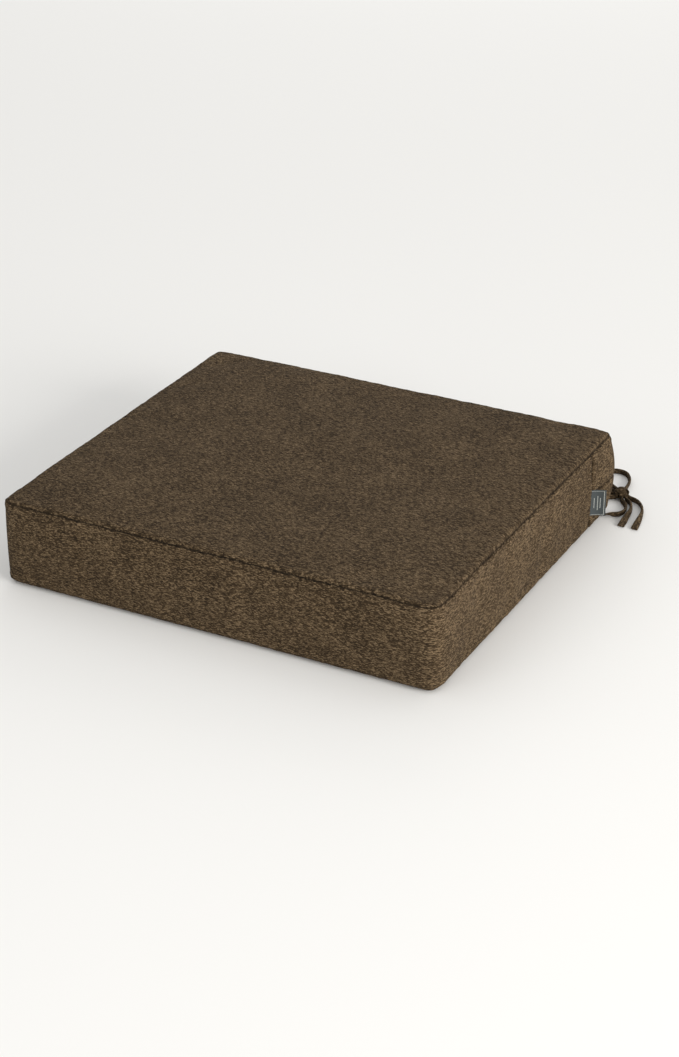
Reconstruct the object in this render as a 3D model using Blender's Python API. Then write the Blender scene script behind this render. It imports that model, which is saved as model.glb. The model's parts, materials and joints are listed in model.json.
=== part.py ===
"""Boxed chair seat pad: foam and wadding in a sewn cover, with a rear zip and a pair of ties at each rear corner.

Metres, +Z up. The origin is on the underside, under the middle of the pad. The front is -Y, the zip is in the
rear wall at +Y, and the label stands in the right-hand seam at +X.
"""

import math

import bmesh
import bpy
from mathutils import Vector

# Pad
PAD_WIDTH = 0.508
PAD_DEPTH = 0.457
SEAM_HEIGHT = 0.097
CROWN = 0.005
FRONT_CORNER_RADIUS = 0.014
REAR_CORNER_RADIUS = 0.012
CORNER_STEPS = 7

# Cover and filling
COVER_SKIN = 0.0015
FIT_GAP = 0.0003
REAR_BAND_WRAP = 0.0625
TOP_WADDING = 0.008
BOTTOM_WADDING = 0.008
FOAM_EDGE_ROUND = 0.004

# Zip, along X in the middle of the rear wall. Its coil stops short of the corners by the end margin.
ZIP_END_MARGIN = 0.027
TAPE_END = 0.012
TAPE_WIDTH = 0.013
TAPE_SKIN = 0.0006
COIL_WIDTH = 0.0023
COIL_DEPTH = 0.0018
COIL_SPLIT = 0.0012
STOP_LENGTH = 0.003
STOP_RISE = 0.0003
SLOT_PAST_ZIP = 0.005
SLOT_TAPER = 0.004

# Zip slider and pull tab
SLIDER_LENGTH = 0.011
SLIDER_PLATE = 0.0012
SLIDER_LIP = 0.0014
SLIDER_GAP = 0.0004
BRIDGE_WIDTH = 0.0024
BRIDGE_LENGTH = 0.0088
BRIDGE_BAR = 0.0010
BRIDGE_ROOT = 0.0004
TAB_SKIN = 0.0010
TAB_LENGTH = 0.024
TAB_WIDTH = 0.0072
TAB_SWING_GAP = 0.0004

# Label, folded and sewn into the right-hand seam
LABEL_REACH = 0.017
LABEL_HEIGHT = 0.031
LABEL_SKIN = 0.0012
LABEL_BASE = 0.021
LABEL_LEAN = math.radians(28)

# Ties: flat fabric straps, each drawn as a round tube on the route that it follows
TIE_TUBE = 0.005
TIE_REST = 0.003
TIE_POINT_SPACING = 0.007
KNOT_SIZE = (0.015, 0.015, 0.011)
KNOT_PLACE = (0.002, 0.034)

# The route of each stretch of tie, in metres out from the rear corner: outwards, then to the rear.
TIE_ROUTES = {
    "rear_lead": [(-0.0150, 0.0004), (-0.0152, 0.0100), (-0.0125, 0.0190), (-0.0070, 0.0255)],
    "rear_loop": [
        (0.0003, 0.0462), (-0.0005, 0.0600), (-0.0040, 0.0760), (-0.0140, 0.0900), (-0.0280, 0.0910),
        (-0.0350, 0.0790), (-0.0300, 0.0650), (-0.0180, 0.0540), (-0.0052, 0.0440),
    ],
    "rear_tail": [(0.0140, 0.0320), (0.0250, 0.0270), (0.0350, 0.0140), (0.0410, -0.0060), (0.0440, -0.0340)],
    "side_lead": [
        (0.0004, -0.0160), (0.0100, -0.0155), (0.0170, -0.0100), (0.0195, 0.0000), (0.0160, 0.0120),
        (0.0075, 0.0225),
    ],
    "side_loop": [
        (-0.0098, 0.0340), (-0.0240, 0.0310), (-0.0400, 0.0260), (-0.0560, 0.0290), (-0.0630, 0.0410),
        (-0.0560, 0.0530), (-0.0400, 0.0550), (-0.0230, 0.0480), (-0.0088, 0.0396),
    ],
    "side_tail": [(0.0118, 0.0265), (0.0200, 0.0180), (0.0255, 0.0020), (0.0270, -0.0150), (0.0280, -0.0340)],
}

# Places that follow from the sizes above
HALF_WIDTH = PAD_WIDTH / 2
HALF_DEPTH = PAD_DEPTH / 2
SEAM_Y = HALF_DEPTH - REAR_BAND_WRAP
INSIDE = COVER_SKIN + FIT_GAP
BAND_BASE = INSIDE
BAND_TOP = SEAM_HEIGHT - INSIDE
FOAM_BASE = BAND_BASE + BOTTOM_WADDING + FIT_GAP
FOAM_TOP = BAND_TOP - TOP_WADDING - FIT_GAP
ZIP_HEIGHT = SEAM_HEIGHT / 2
ZIP_LENGTH = PAD_WIDTH - 2 * (REAR_CORNER_RADIUS + ZIP_END_MARGIN)
COIL_REACH = COIL_SPLIT / 2 + COIL_WIDTH
SLIDER_HALF_WIDTH = COIL_REACH + FIT_GAP + SLIDER_LIP
ZIP_SLOT = 2 * (SLIDER_HALF_WIDTH + SLIDER_GAP)
TAPE_INNER_Y = HALF_DEPTH - INSIDE - TAPE_SKIN
TAPE_OUTER_Y = TAPE_INNER_Y + TAPE_SKIN
COIL_INNER_Y = TAPE_OUTER_Y + FIT_GAP
COIL_OUTER_Y = COIL_INNER_Y + COIL_DEPTH
SLIDER_FACE_Y = COIL_OUTER_Y + FIT_GAP + SLIDER_PLATE
SLIDER_BACK_Y = TAPE_INNER_Y - FIT_GAP - SLIDER_PLATE
FOAM_REAR_Y = SLIDER_BACK_Y - FIT_GAP
SLIDER_X = (ZIP_LENGTH - SLIDER_LENGTH) / 2
HINGE_REACH = TAB_SKIN / math.sqrt(2) + TAB_SWING_GAP
HINGE_Y = SLIDER_FACE_Y + HINGE_REACH


def clear_scene():
    for item in list(bpy.data.objects):
        bpy.data.objects.remove(item, do_unlink=True)


def finish_object(name, data, colour, roughness, metallic=0.0):
    """Links the shape under its node name, with its own material."""
    item = bpy.data.objects.new(name, data)
    bpy.context.collection.objects.link(item)
    finish = bpy.data.materials.new(name)
    finish.use_nodes = True
    shader = finish.node_tree.nodes["Principled BSDF"]
    shader.inputs["Base Color"].default_value = (*colour, 1.0)
    shader.inputs["Roughness"].default_value = roughness
    shader.inputs["Metallic"].default_value = metallic
    data.materials.append(finish)
    return item


def mesh_from(name, corners, faces):
    """A closed mesh whose faces are turned to point outwards."""
    mesh = bpy.data.meshes.new(name)
    shape = bmesh.new()
    placed = [shape.verts.new(corner) for corner in corners]
    for face in faces:
        shape.faces.new([placed[index] for index in face])
    bmesh.ops.recalc_face_normals(shape, faces=shape.faces)
    shape.to_mesh(mesh)
    shape.free()
    return mesh


def arc(centre, radius, start, end):
    """Points on an arc, in degrees, with both ends."""
    angles = [math.radians(start + (end - start) * step / CORNER_STEPS) for step in range(CORNER_STEPS + 1)]
    return [(centre[0] + radius * math.cos(a), centre[1] + radius * math.sin(a)) for a in angles]


def front_corners(inset):
    """The plan line round the two front corners, from right to left."""
    x = HALF_WIDTH - FRONT_CORNER_RADIUS
    y = FRONT_CORNER_RADIUS - HALF_DEPTH
    radius = FRONT_CORNER_RADIUS - inset
    return arc((x, y), radius, 0, -90) + arc((-x, y), radius, -90, -180)


def rear_corners(inset, rear=None):
    """The plan line round the two rear corners, from left to right, with its rear wall at y = rear if given."""
    radius = REAR_CORNER_RADIUS - inset
    x = HALF_WIDTH - REAR_CORNER_RADIUS
    y = (HALF_DEPTH - inset if rear is None else rear) - radius
    return arc((-x, y), radius, 180, 90) + arc((x, y), radius, 90, 0)


def plan_outline(inset, rear=None):
    return front_corners(inset) + rear_corners(inset, rear)


def prism(name, outline, low, high):
    """An upright solid on a closed plan outline."""
    count = len(outline)
    corners = [(x, y, low) for x, y in outline] + [(x, y, high) for x, y in outline]
    faces = [(i, (i + 1) % count, count + (i + 1) % count, count + i) for i in range(count)]
    faces += [tuple(range(count)), tuple(range(count, 2 * count))]
    return mesh_from(name, corners, faces)


def band(name, outer, inner, low, high):
    """A bent upright wall between two open plan lines. Its lower and upper edges are heights for each point."""
    count = len(outer)
    corners = []
    for edge in (low, high):
        corners += [(x, y, z) for line in (outer, inner) for (x, y), z in zip(line, edge)]
    top = 2 * count
    faces = []
    for i in range(count - 1):
        faces.append((i, i + 1, top + i + 1, top + i))
        faces.append((count + i, count + i + 1, top + count + i + 1, top + count + i))
        faces.append((i, i + 1, count + i + 1, count + i))
        faces.append((top + i, top + i + 1, top + count + i + 1, top + count + i))
    for i in (0, count - 1):
        faces.append((i, count + i, top + count + i, top + i))
    return mesh_from(name, corners, faces)


def crowned_plate(name, outline, low, high, low_crown, high_crown):
    """A plate whose faces rise from the rim to the middle. The rise is steep at the rim, as stuffed cloth is."""
    rings = [1.0, 0.95, 0.88, 0.78, 0.62, 0.40]
    count = len(outline)
    corners = []
    faces = []
    for height, crown in ((low, low_crown), (high, high_crown)):
        start = len(corners)
        for ring in rings:
            lift = crown * (1 - ring**4)
            corners += [(x * ring, y * ring, height + lift) for x, y in outline]
        corners.append((0, 0, height + crown))
        middle = len(corners) - 1
        for step in range(len(rings) - 1):
            outside = start + step * count
            inside = outside + count
            for i in range(count):
                j = (i + 1) % count
                faces.append((outside + i, outside + j, inside + j, inside + i))
        last = start + (len(rings) - 1) * count
        faces += [(last + i, last + (i + 1) % count, middle) for i in range(count)]
    upper = len(corners) // 2
    faces += [(i, (i + 1) % count, upper + (i + 1) % count, upper + i) for i in range(count)]
    return mesh_from(name, corners, faces)


def box(name, low, high):
    x0, y0, z0 = low
    x1, y1, z1 = high
    return prism(name, [(x0, y0), (x1, y0), (x1, y1), (x0, y1)], z0, z1)


def side_prism(name, outline, low, high, axis):
    """A solid on an outline in the plane across X or Z, run along that axis from low to high."""
    place = {"X": lambda run, a, b: (run, a, b), "Z": lambda run, a, b: (a, b, run)}[axis]
    count = len(outline)
    corners = [place(run, a, b) for run in (low, high) for a, b in outline]
    faces = [(i, (i + 1) % count, count + (i + 1) % count, count + i) for i in range(count)]
    faces += [tuple(range(count)), tuple(range(count, 2 * count))]
    return mesh_from(name, corners, faces)


def joined(item, helper_mesh, operation):
    """Adds or cuts a helper shape, which stays hidden."""
    helper = bpy.data.objects.new(helper_mesh.name, helper_mesh)
    bpy.context.collection.objects.link(helper)
    helper.location = item.location
    helper.hide_render = True
    helper.display_type = "WIRE"
    step = item.modifiers.new(helper.name, "BOOLEAN")
    step.object = helper
    step.operation = operation
    step.solver = "EXACT"


FABRIC = (0.082, 0.056, 0.033)
FOAM = (0.80, 0.77, 0.62)
WADDING = (0.85, 0.85, 0.83)
ZIP_CLOTH = (0.045, 0.033, 0.022)
ZIP_METAL = (0.30, 0.28, 0.25)
LABEL_CLOTH = (0.060, 0.067, 0.071)


def make_filling():
    foam = finish_object(
        "foam_core", prism("foam_core", plan_outline(INSIDE, FOAM_REAR_Y), FOAM_BASE, FOAM_TOP), FOAM, 0.95
    )
    edge = foam.modifiers.new("eased edges", "BEVEL")
    edge.width = FOAM_EDGE_ROUND
    edge.segments = 2
    edge.limit_method = "ANGLE"
    edge.angle_limit = math.radians(60)
    under = prism(
        "bottom_wadding", plan_outline(INSIDE, FOAM_REAR_Y), BAND_BASE, BAND_BASE + BOTTOM_WADDING
    )
    finish_object("bottom_wadding", under, WADDING, 0.95)
    over = crowned_plate(
        "top_wadding", plan_outline(INSIDE, FOAM_REAR_Y), BAND_TOP - TOP_WADDING, BAND_TOP, 0.0, CROWN
    )
    finish_object("top_wadding", over, WADDING, 0.95)


def make_panels():
    bottom = prism("bottom_panel", plan_outline(0.0), 0.0, COVER_SKIN)
    finish_object("bottom_panel", bottom, FABRIC, 0.9)
    top = crowned_plate("top_panel", plan_outline(0.0), SEAM_HEIGHT - COVER_SKIN, SEAM_HEIGHT, CROWN, CROWN)
    finish_object("top_panel", top, FABRIC, 0.9)


def make_front_boxing():
    """One band from the right-hand seam round the front to the left-hand seam."""
    lines = []
    for inset in (0.0, COVER_SKIN):
        x = HALF_WIDTH - inset
        y = SEAM_Y - FIT_GAP / 2
        lines.append([(x, y)] + front_corners(inset) + [(-x, y)])
    edges = [[height] * len(lines[0]) for height in (BAND_BASE, BAND_TOP)]
    finish_object("front_boxing", band("front_boxing", *lines, *edges), FABRIC, 0.9)


def make_rear_boxing():
    """Two strips, each wrapped round both rear corners. They part along the zip and meet beyond its ends."""
    lines = []
    slot_end = ZIP_LENGTH / 2 + SLOT_PAST_ZIP
    for inset in (0.0, COVER_SKIN):
        x = HALF_WIDTH - inset
        y = SEAM_Y + FIT_GAP / 2
        rear = HALF_DEPTH - inset
        turn = rear_corners(inset)
        half = len(turn) // 2
        slot = [(-slot_end - SLOT_TAPER, rear), (-slot_end, rear), (slot_end, rear), (slot_end + SLOT_TAPER, rear)]
        lines.append([(-x, y)] + turn[:half] + slot + turn[half:] + [(x, y)])
    count = len(lines[0])
    opening = [FIT_GAP / 2] * count
    middle = count // 2
    opening[middle - 1] = opening[middle] = ZIP_SLOT / 2
    lower = [[BAND_BASE] * count, [ZIP_HEIGHT - gap for gap in opening]]
    upper = [[ZIP_HEIGHT + gap for gap in opening], [BAND_TOP] * count]
    finish_object("rear_boxing_lower", band("rear_boxing_lower", *lines, *lower), FABRIC, 0.9)
    finish_object("rear_boxing_upper", band("rear_boxing_upper", *lines, *upper), FABRIC, 0.9)


def make_zip_chain():
    """A tape and a row of coil on each side of the split, with the stops at the ends of the coil."""
    half = ZIP_LENGTH / 2
    tape_half = half + TAPE_END
    stop_start = half + FIT_GAP
    stop_end = stop_start + STOP_LENGTH
    stop_top = COIL_OUTER_Y + STOP_RISE
    for side, sign in (("lower", -1), ("upper", 1)):
        near = ZIP_HEIGHT + sign * COIL_SPLIT / 2
        far = ZIP_HEIGHT + sign * TAPE_WIDTH
        coil_far = ZIP_HEIGHT + sign * COIL_REACH
        tape = box(
            f"zip_tape_{side}",
            (-tape_half, TAPE_INNER_Y, min(near, far)),
            (tape_half, TAPE_OUTER_Y, max(near, far)),
        )
        finish_object(f"zip_tape_{side}", tape, ZIP_CLOTH, 0.85)
        coil = box(
            f"zip_coil_{side}",
            (-half, COIL_INNER_Y, min(near, coil_far)),
            (half, COIL_OUTER_Y, max(near, coil_far)),
        )
        finish_object(f"zip_coil_{side}", coil, ZIP_CLOTH, 0.45)
        stop = box(
            f"zip_top_stop_{side}",
            (stop_start, COIL_INNER_Y, min(near, coil_far)),
            (stop_end, stop_top, max(near, coil_far)),
        )
        finish_object(f"zip_top_stop_{side}", stop, ZIP_METAL, 0.4, 1.0)
    end_stop = box(
        "zip_bottom_stop",
        (-stop_end, COIL_INNER_Y, ZIP_HEIGHT - COIL_REACH),
        (-stop_start, stop_top, ZIP_HEIGHT + COIL_REACH),
    )
    finish_object("zip_bottom_stop", end_stop, ZIP_METAL, 0.4, 1.0)


def make_slider():
    """Two plates joined by a web that runs in the split, with lips beside the coil and a bridge for the tab."""
    origin = Vector((SLIDER_X, HINGE_Y, ZIP_HEIGHT))
    face = SLIDER_FACE_Y - HINGE_Y
    under_face = face - SLIDER_PLATE
    lip_end = TAPE_OUTER_Y + SLIDER_GAP - HINGE_Y
    back = SLIDER_BACK_Y - HINGE_Y
    over_back = back + SLIDER_PLATE
    half = SLIDER_HALF_WIDTH
    lip = half - SLIDER_LIP
    web = COIL_SPLIT / 2 - FIT_GAP
    right_side = [
        (back, half), (over_back, half), (over_back, web), (under_face, web), (under_face, lip),
        (lip_end, lip), (lip_end, half), (face, half),
    ]
    outline = right_side + [(y, -z) for y, z in reversed(right_side)]
    body = side_prism("zip_slider", outline, -SLIDER_LENGTH / 2, SLIDER_LENGTH / 2, "X")
    slider = finish_object("zip_slider", body, ZIP_METAL, 0.35, 1.0)
    slider.location = origin
    foot = face - BRIDGE_ROOT
    inner_top = HINGE_REACH
    outer_top = inner_top + BRIDGE_BAR
    outer = BRIDGE_LENGTH / 2
    inner = outer - BRIDGE_BAR
    ease = BRIDGE_BAR / 2
    half_arch = [
        (outer, foot), (outer, outer_top - 2 * ease), (outer - 2 * ease, outer_top),
    ]
    half_inside = [
        (inner, foot), (inner, inner_top - ease), (inner - ease, inner_top),
    ]
    arch = half_arch + [(-x, y) for x, y in reversed(half_arch)]
    arch += [(-x, y) for x, y in half_inside] + list(reversed(half_inside))
    bridge = side_prism("slider_bridge", arch, -BRIDGE_WIDTH / 2, BRIDGE_WIDTH / 2, "Z")
    joined(slider, bridge, "UNION")


def make_pull_tab():
    """A flat tab whose end bar turns under the slider's bridge. It lies along the zip, away from the stops."""
    bar = TAB_SKIN / 2
    half = TAB_WIDTH / 2
    corner = half / 2
    far = -TAB_LENGTH + half
    end_cap = [
        (far - half * math.sin(math.radians(a)), half * math.cos(math.radians(a))) for a in range(0, 181, 20)
    ]
    plan = [(bar, -half + corner), (bar, half - corner), (-corner, half)] + end_cap + [(-corner, -half)]
    count = len(plan)
    corners = [(x, y, z) for y in (-TAB_SKIN / 2, TAB_SKIN / 2) for x, z in plan]
    faces = [(i, (i + 1) % count, count + (i + 1) % count, count + i) for i in range(count)]
    faces += [tuple(range(count)), tuple(range(count, 2 * count))]
    tab = finish_object("zip_pull_tab", mesh_from("zip_pull_tab", corners, faces), ZIP_METAL, 0.35, 1.0)
    tab.location = Vector((SLIDER_X, HINGE_Y, ZIP_HEIGHT))
    window_half = BRIDGE_WIDTH / 2 + TAB_SWING_GAP
    window_end = BRIDGE_LENGTH / 2 + HINGE_REACH
    window = box("tab_window", (-window_end, -TAB_SKIN, -window_half), (-bar, TAB_SKIN, window_half))
    joined(tab, window, "DIFFERENCE")
    grip_start = -window_end - TAB_WIDTH / 2
    grip = box("tab_grip_slot", (far, -TAB_SKIN, -window_half / 2), (grip_start, TAB_SKIN, window_half / 2))
    joined(tab, grip, "DIFFERENCE")


def make_side_label():
    """A folded label that stands out of the right-hand seam and leans to the rear."""
    along = Vector((math.cos(LABEL_LEAN), math.sin(LABEL_LEAN)))
    across = Vector((-along.y, along.x)) * LABEL_SKIN / 2
    root = Vector((HALF_WIDTH + FIT_GAP + LABEL_SKIN / 2, SEAM_Y))
    tip = root + along * LABEL_REACH
    outline = [tuple(root - across), tuple(tip - across), tuple(tip + across), tuple(root + across)]
    label = prism("side_label", outline, LABEL_BASE, LABEL_BASE + LABEL_HEIGHT)
    finish_object("side_label", label, LABEL_CLOTH, 0.7)


def smooth_route(points):
    """Evenly read points on a smooth curve through the route's own points, with both ends."""
    ends = [points[0] * 2 - points[1]] + points + [points[-1] * 2 - points[-2]]
    fine = []
    for i in range(1, len(ends) - 2):
        before, start, end, after = ends[i - 1 : i + 3]
        steps = max(2, round((end - start).length / TIE_POINT_SPACING))
        for step in range(steps):
            t = step / steps
            bend = 2 * before - 5 * start + 4 * end - after
            twist = 3 * start - before - 3 * end + after
            fine.append(start + (end - before) * t / 2 + bend * t**2 / 2 + twist * t**3 / 2)
    return fine + [points[-1]]


def make_tie(side, sign):
    """The two ties of one rear corner, tied in a bow that lies on the surface under the pad."""
    corner = Vector((HALF_WIDTH, HALF_DEPTH, 0))
    for stretch, route in TIE_ROUTES.items():
        points = [corner + Vector((out, back, TIE_REST)) for out, back in route]
        name = f"{side}_tie_{stretch}"
        curve = bpy.data.curves.new(name, "CURVE")
        curve.dimensions = "3D"
        curve.bevel_depth = TIE_TUBE / 2
        curve.bevel_resolution = 2
        curve.use_fill_caps = True
        line = smooth_route(points)
        spline = curve.splines.new("POLY")
        spline.points.add(len(line) - 1)
        for place, point in zip(spline.points, line):
            place.co = (sign * point.x, point.y, point.z, 1.0)
        finish_object(name, curve, FABRIC, 0.9)
    name = f"{side}_tie_knot"
    mesh = bpy.data.meshes.new(name)
    shape = bmesh.new()
    bmesh.ops.create_icosphere(shape, subdivisions=3, radius=0.5)
    bmesh.ops.scale(shape, vec=KNOT_SIZE, verts=shape.verts)
    shape.to_mesh(mesh)
    shape.free()
    knot = finish_object(name, mesh, FABRIC, 0.9)
    knot_height = KNOT_SIZE[2] / 2 + FIT_GAP
    knot.location = (sign * (corner.x + KNOT_PLACE[0]), corner.y + KNOT_PLACE[1], knot_height)


clear_scene()
make_filling()
make_panels()
make_front_boxing()
make_rear_boxing()
make_zip_chain()
make_slider()
make_pull_tab()
make_side_label()
make_tie("right", 1)
make_tie("left", -1)
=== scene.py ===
"""Chair seat pad: the sewn cover, its filling, the rear zip, the side label and the corner ties.

The cover is one grid of cloth that Blender's cloth simulation blows up from inside while its seams are held.
It is then cut along its seams into the panels that a sewer would cut.
"""
import json
import math

import bpy
import numpy as np
from bpy.props import FloatProperty, IntProperty, PointerProperty, StringProperty
from mathutils import Matrix, Vector

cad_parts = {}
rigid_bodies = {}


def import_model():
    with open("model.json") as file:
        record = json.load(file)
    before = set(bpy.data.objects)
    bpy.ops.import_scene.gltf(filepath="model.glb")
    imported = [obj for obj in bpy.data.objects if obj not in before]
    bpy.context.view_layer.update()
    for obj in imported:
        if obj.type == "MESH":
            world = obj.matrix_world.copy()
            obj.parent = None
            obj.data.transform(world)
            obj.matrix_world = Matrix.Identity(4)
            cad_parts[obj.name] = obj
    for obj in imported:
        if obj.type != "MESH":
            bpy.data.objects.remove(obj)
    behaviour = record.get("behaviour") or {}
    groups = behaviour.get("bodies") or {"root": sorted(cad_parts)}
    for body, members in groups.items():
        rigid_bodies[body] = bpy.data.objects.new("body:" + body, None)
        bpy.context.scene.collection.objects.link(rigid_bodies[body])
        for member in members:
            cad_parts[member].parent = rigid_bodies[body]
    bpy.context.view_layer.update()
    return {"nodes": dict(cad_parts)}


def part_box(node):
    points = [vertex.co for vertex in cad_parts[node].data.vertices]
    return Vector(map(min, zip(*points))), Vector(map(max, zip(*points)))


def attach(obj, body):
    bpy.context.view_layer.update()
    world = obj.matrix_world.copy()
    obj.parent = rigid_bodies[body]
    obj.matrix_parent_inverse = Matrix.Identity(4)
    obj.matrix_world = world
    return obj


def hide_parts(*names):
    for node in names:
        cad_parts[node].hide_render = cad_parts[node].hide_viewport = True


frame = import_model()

bl_info = {
    "name": "Chair seat pad",
    "version": (1, 0, 0),
    "blender": (4, 5, 0),
    "location": "3D View > Sidebar > Seat pad",
    "description": "Builds a boxed chair seat pad round its packed frame",
    "category": "Object",
}

PAD_LOW, PAD_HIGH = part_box("bottom_panel")
HALF_WIDTH = PAD_HIGH.x
HALF_DEPTH = PAD_HIGH.y
COVER_SKIN = PAD_HIGH.z - PAD_LOW.z
SEAM_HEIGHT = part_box("top_panel")[0].z + COVER_SKIN
SIDE_SEAM_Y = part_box("front_boxing")[1].y
COIL_LOW, COIL_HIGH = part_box("zip_coil_lower")
ZIP_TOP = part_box("zip_coil_upper")[1]
ZIP_HEIGHT = (COIL_LOW.z + ZIP_TOP.z) / 2
ZIP_HALF_LENGTH = COIL_HIGH.x
SLIDER_LOW, SLIDER_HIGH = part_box("zip_slider")
SLOT_HALF = (SLIDER_HIGH.z - SLIDER_LOW.z) / 2 + 0.0004
SLOT_END = ZIP_HALF_LENGTH + 0.005
PANELS = {
    "top_panel_cloth": ("top_panel",),
    "bottom_panel_cloth": ("bottom_panel",),
    "front_boxing_cloth": ("front_boxing",),
    "rear_boxing_upper_cloth": ("rear_boxing_upper",),
    "rear_boxing_lower_cloth": ("rear_boxing_lower",),
}
TOP, BOTTOM, FRONT_BAND, REAR_UPPER, REAR_LOWER, ZIP_OPENING = range(6)

# Each stretch of tie, in metres out from the rear corner and to the rear, as it is in the frame.
TIE_ROUTES = {
    "rear_lead": [
        (-0.0150, -0.0070), (-0.0150, 0.0004), (-0.0152, 0.0100), (-0.0125, 0.0190), (-0.0070, 0.0255),
    ],
    "rear_loop": [
        (0.0003, 0.0462), (-0.0005, 0.0600), (-0.0040, 0.0760), (-0.0140, 0.0900), (-0.0280, 0.0910),
        (-0.0350, 0.0790), (-0.0300, 0.0650), (-0.0180, 0.0540), (-0.0052, 0.0440),
    ],
    "rear_tail": [(0.0140, 0.0320), (0.0250, 0.0270), (0.0350, 0.0140), (0.0410, -0.0060), (0.0440, -0.0340)],
    "side_lead": [
        (-0.0070, -0.0160), (0.0004, -0.0160), (0.0100, -0.0155), (0.0170, -0.0100), (0.0195, 0.0000),
        (0.0160, 0.0120), (0.0075, 0.0225),
    ],
    "side_loop": [
        (-0.0098, 0.0340), (-0.0240, 0.0310), (-0.0400, 0.0260), (-0.0560, 0.0290), (-0.0630, 0.0410),
        (-0.0560, 0.0530), (-0.0400, 0.0550), (-0.0230, 0.0480), (-0.0088, 0.0396),
    ],
    "side_tail": [(0.0118, 0.0265), (0.0200, 0.0180), (0.0255, 0.0020), (0.0270, -0.0150), (0.0280, -0.0340)],
}

# The knot's place is from the rear corner. TIE_ROOT is the run of each tie that lies inside the seam.
KNOT = (0.002, 0.034)
KNOT_HEIGHT = 0.0072
KNOT_HEART = (0.0125, 0.0125, 0.0108)
TIE_ROOT = 0.0074
BOTTOM_SEAM = 0.0035
LABEL_REACH = 0.0172
LABEL_LEAN = math.radians(28)
LABEL_HALF = 0.0004
SATIN_PITCH = 0.00042
ON_SEAM = 1e-6
YARN = 0.0008
CLOTH_METRE = 1.0


# ---------------------------------------------------------------------------------------------- settings


def length(name, default, description):
    """A length that a user may change, in metres."""
    return FloatProperty(name=name, default=default, description=description, unit="LENGTH")


def shade(name, default):
    """A colour that a user may change, as an sRGB hex value."""
    return StringProperty(name=name, default=default, description="sRGB hex colour")


class SeatPadCover(bpy.types.PropertyGroup):
    """Shape and colours of the sewn cover."""

    front_corner: length("Front corner", 0.014, "Radius in plan")
    rear_corner: length("Rear corner", 0.012, "Radius in plan")
    cloth_step: length("Cloth step", 0.0075, "Widest cell of the cloth grid")
    pressure: FloatProperty(name="Pressure", default=4.0, description="Air pressure that swells the cover")
    frames: IntProperty(name="Frames", default=20, description="Length of the cloth simulation")
    top_share: FloatProperty(name="Top share", default=0.30, description="Share of its swelling kept")
    wall_share: FloatProperty(name="Wall share", default=0.5, description="Share of their swelling kept")
    top_rise: length("Top rise", 0.008, "Most that the top may rise")
    wall_swell: length("Wall swell", 0.006, "Most that the walls may swell")
    seam_depth: length("Seam depth", 0.0040, "How far the seams pull in")
    pucker: length("Pucker", 0.00032, "Height of the gathers beside the seams")
    skin: length("Cloth thickness", 0.0011, "Thickness of the cloth")
    dark_yarn: shade("Dark yarn", "#1f180f")
    ground_yarn: shade("Ground yarn", "#443625")
    light_yarn: shade("Light yarn", "#877257")


class SeatPadTrim(bpy.types.PropertyGroup):
    """Sizes and colours of the ties, the zip and the label."""

    strap_width: length("Tie width", 0.008, "Width of the flat tie")
    strap_skin: length("Tie thickness", 0.0018, "Thickness of the flat tie")
    coil_pitch: length("Coil pitch", 0.0013, "Distance between zip teeth")
    zip_tape: shade("Zip tape", "#3b3025")
    zip_coil: shade("Zip coil", "#33291f")
    zip_enamel: shade("Zip slider", "#2c2722")
    zip_bare: shade("Rubbed slider edges", "#7d7468")
    label_ground: shade("Label", "#343a3b")
    label_thread: shade("Label thread", "#a3a6a1")


class SeatPadStage(bpy.types.PropertyGroup):
    """Camera and floor."""

    azimuth: FloatProperty(name="Azimuth", default=math.radians(27.5), subtype="ANGLE",
                           description="Camera angle round the pad")
    elevation: FloatProperty(name="Elevation", default=math.radians(27.3), subtype="ANGLE",
                             description="Camera angle above the floor")
    distance: length("Distance", 2.567, "Camera to pad")
    across: length("Across", 0.026, "Camera moved to its right")
    upward: length("Upward", 0.018, "Camera moved up")
    lens: FloatProperty(name="Lens", default=79.4, description="Focal length in millimetres")
    floor: shade("Floor", "#f0efec")


# ---------------------------------------------------------------------------------------------- helpers


def linear(hex_colour):
    """An sRGB hex value as the linear colour that shaders take."""
    parts = [int(hex_colour[i : i + 2], 16) / 255 for i in (1, 3, 5)]
    return tuple(c / 12.92 if c <= 0.04045 else ((c + 0.055) / 1.055) ** 2.4 for c in parts) + (1.0,)


def add_node(tree, kind, inputs=None, stops=None, **settings):
    """Adds a node, with its settings, colour stops, and input values or links."""
    made = tree.nodes.new(kind)
    for name, value in settings.items():
        setattr(made, name, value)
    for name, value in (inputs or {}).items():
        if isinstance(value, bpy.types.NodeSocket):
            tree.links.new(value, made.inputs[name])
        else:
            made.inputs[name].default_value = value
    if stops:
        elements = made.color_ramp.elements
        while len(elements) < len(stops):
            elements.new(1.0)
        for element, (place, colour) in zip(elements, stops):
            element.position = place
            element.color = colour
    return made


def new_material(name, roughness, **values):
    """A Principled material. Values are named as the shader's sockets, with _ for a space."""
    material = bpy.data.materials.new(name)
    material.use_nodes = True
    shader = material.node_tree.nodes["Principled BSDF"]
    shader.inputs["Roughness"].default_value = roughness
    for socket, value in values.items():
        shader.inputs[socket.replace("_", " ")].default_value = value
    return material, material.node_tree, shader


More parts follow.
